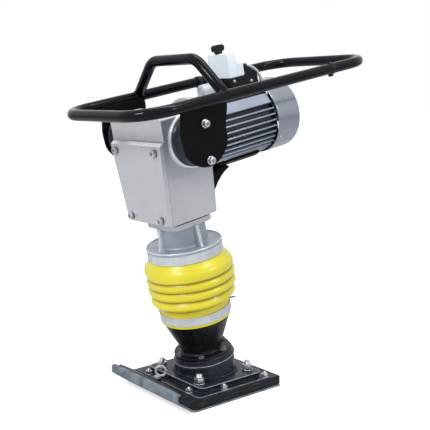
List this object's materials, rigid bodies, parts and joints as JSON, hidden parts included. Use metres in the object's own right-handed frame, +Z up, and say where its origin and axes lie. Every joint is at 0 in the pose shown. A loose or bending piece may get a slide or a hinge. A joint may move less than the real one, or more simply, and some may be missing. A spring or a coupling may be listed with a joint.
{
  "type": "tamping rammer",
  "caption": "Electric tamping rammer: flat shoe with turned-up toe, spring leg in a yellow bellows, silver gearbox, finned motor and a rubber-mounted handle loop.",
  "frame": {"origin": "centre of the flat part of the sole, on the ground", "axes": "+Z up, -Y the way the rammer travels, +Y towards the operator, +X the machine's left-hand side seen from the operator's place"},
  "size_m": [0.4014, 0.7873, 0.9166],
  "materials": {
    "toe_steel": "blue-grey wear plate",
    "slab_black": "black moulded shock slab",
    "black_paint": "gloss black paint on steel and iron",
    "silver_paint": "silver paint on cast aluminium",
    "motor_silver": "silver finned motor frame",
    "zinc_steel": "bright zinc plated fasteners and bands",
    "machined_steel": "machined steel",
    "yellow_rubber": "yellow moulded bellows",
    "black_rubber": "black anti-vibration rubber",
    "bronze": "bearing bronze",
    "white_plastic": "white switch housing",
    "black_plastic": "black moulding",
    "cable_grey": "light grey cable"
  },
  "bodies": {
    "foot": {"sole_plate": "toe_steel", "shoe_slab": "slab_black", "foot_flange": "black_paint", "spring_housing": "black_paint", "spring_cylinder": "machined_steel", "lower_spring": "machined_steel", "upper_spring": "machined_steel", "gland_nut": "bronze", "lower_clamp_band": "zinc_steel", "bellows": "yellow_rubber", "eye_bolt": "zinc_steel", "flange_stud_near_front": "zinc_steel", "flange_stud_near_rear": "zinc_steel", "flange_stud_far_front": "zinc_steel", "flange_stud_far_rear": "zinc_steel", "shoe_bolt_near_front": "zinc_steel", "shoe_bolt_near_middle": "zinc_steel", "shoe_bolt_near_rear": "zinc_steel", "shoe_bolt_far_front": "zinc_steel", "shoe_bolt_far_middle": "zinc_steel", "shoe_bolt_far_rear": "zinc_steel"},
    "upper": {"gearbox_casing": "silver_paint", "gearbox_cover": "silver_paint", "guide_tube": "silver_paint", "guide_bush": "bronze", "upper_clamp_band": "zinc_steel", "motor_stator": "motor_silver", "motor_front_shield": "silver_paint", "motor_rear_shield": "silver_paint", "fan_cover": "silver_paint", "motor_support": "black_paint", "motor_bearing_front": "machined_steel", "motor_bearing_rear": "machined_steel", "crank_bearing": "machined_steel", "rubber_buffer_near": "black_rubber", "rubber_buffer_far": "black_rubber", "terminal_box": "black_plastic", "switch_box": "white_plastic", "motor_cable": "cable_grey", "cover_screw_near_top": "zinc_steel", "cover_screw_near_bottom": "zinc_steel", "cover_screw_far_top": "zinc_steel", "cover_screw_far_bottom": "zinc_steel"},
    "handle": {"handle_loop": "black_paint", "lifting_hoop": "black_paint", "bracket_near": "black_paint", "bracket_far": "black_paint", "bracket_bolt_near_upper": "zinc_steel", "bracket_bolt_near_lower": "zinc_steel", "bracket_bolt_far_upper": "zinc_steel", "bracket_bolt_far_lower": "zinc_steel"},
    "crank": {"crankshaft": "machined_steel", "crank_gear": "machined_steel"},
    "rotor": {"rotor_shaft": "machined_steel", "drive_pinion": "machined_steel", "cooling_fan": "black_plastic"},
    "conrod": {"connecting_rod": "machined_steel", "wrist_pin": "machined_steel"},
    "piston": {"piston_rod": "machined_steel"},
    "knob": {"switch_knob": "black_plastic"}
  },
  "joints": [
    {"name": "jump_travel", "type": "slide", "parent": "foot", "child": "upper", "axis": [0, -0.1898, 0.9818], "range_m": [-0.025, 0.04], "stiffness_N_per_m": 60000, "springref_m": 0.0092, "deforming": ["bellows", "lower_spring", "upper_spring"]},
    {"name": "piston_stroke", "type": "slide", "parent": "upper", "child": "piston", "axis": [0, -0.1898, 0.9818], "range_m": [0, 0.044], "deforming": ["lower_spring", "upper_spring"]},
    {"name": "crank_turn", "type": "hinge", "parent": "upper", "child": "crank", "pos_m": [0, -0.10206, 0.59008], "axis": [0, 0.9818, 0.1898], "continuous": true},
    {"name": "motor_turn", "type": "hinge", "parent": "upper", "child": "rotor", "pos_m": [0, -0.11667, 0.66568], "axis": [0, 0.9818, 0.1898], "continuous": true},
    {"name": "crank_pin_turn", "type": "hinge", "parent": "crank", "child": "conrod", "pos_m": [0, -0.09788, 0.56848], "axis": [0, 0.9818, 0.1898], "continuous": true},
    {"name": "handle_flex", "type": "hinge", "parent": "upper", "child": "handle", "pos_m": [0, -0.12227, 0.67885], "axis": [1, 0, 0], "range_deg": [-3, 3], "stiffness_Nm_per_rad": 3000, "springref_deg": 0.33},
    {"name": "switch_turn", "type": "hinge", "parent": "upper", "child": "knob", "pos_m": [0, 0.05512, 0.89138], "axis": [0, -0.1898, 0.9818], "range_deg": [0, 90]}
  ],
  "couplings": [
    {"joint": "motor_turn", "follows": "crank_turn", "ratio": -4.5},
    {"joint": "crank_pin_turn", "follows": "crank_turn", "ratio": -1}
  ]
}
